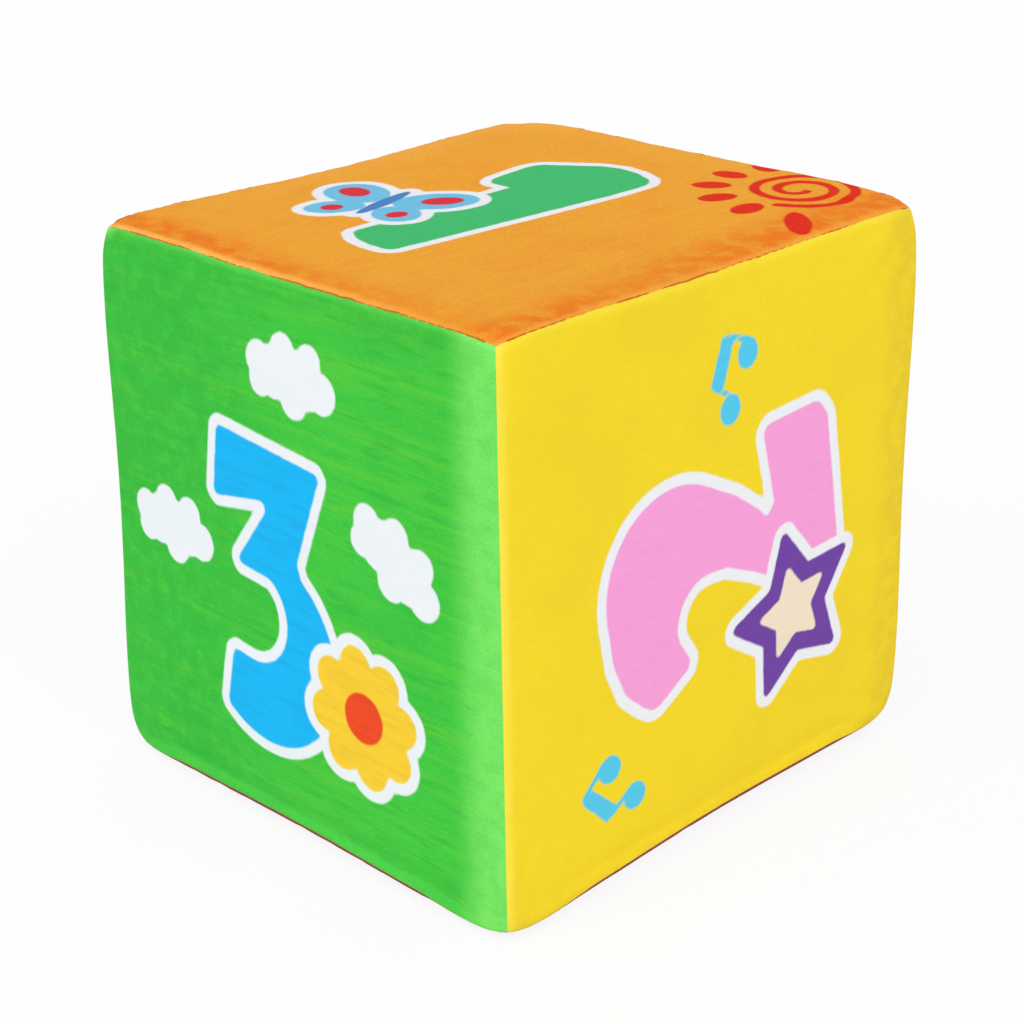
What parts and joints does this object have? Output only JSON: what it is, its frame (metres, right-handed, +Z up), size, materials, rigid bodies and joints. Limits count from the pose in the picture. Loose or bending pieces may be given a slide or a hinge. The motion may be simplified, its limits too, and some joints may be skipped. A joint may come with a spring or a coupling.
{
  "type": "soft die",
  "caption": "Soft play die: a foam cube in a plush cover of brightly coloured square panels with printed numerals, sewn together along every edge.",
  "frame": {"origin": "middle of the underside, on the surface that the die rests on", "axes": "+Z up through the top panel, -Y out of the front panel, +X out of the right panel"},
  "size_m": [0.15, 0.15, 0.15],
  "materials": {
    "orange_plush": "short-pile printed plush",
    "red_plush": "short-pile printed plush",
    "green_plush": "short-pile printed plush",
    "purple_plush": "short-pile printed plush",
    "yellow_plush": "short-pile printed plush",
    "blue_plush": "short-pile printed plush",
    "foam": "open-cell polyurethane foam",
    "sewing_thread": "spun polyester thread"
  },
  "bodies": {
    "root": {"foam_core": "foam", "top_panel": "orange_plush", "bottom_panel": "red_plush", "front_panel": "green_plush", "back_panel": "purple_plush", "right_panel": "yellow_plush", "left_panel": "blue_plush", "seam_thread_top_front": "sewing_thread", "seam_thread_top_back": "sewing_thread", "seam_thread_top_right": "sewing_thread", "seam_thread_top_left": "sewing_thread", "seam_thread_bottom_front": "sewing_thread", "seam_thread_bottom_back": "sewing_thread", "seam_thread_bottom_right": "sewing_thread", "seam_thread_bottom_left": "sewing_thread", "seam_thread_front_right": "sewing_thread", "seam_thread_front_left": "sewing_thread", "seam_thread_back_right": "sewing_thread", "seam_thread_back_left": "sewing_thread"}
  },
  "joints": []
}
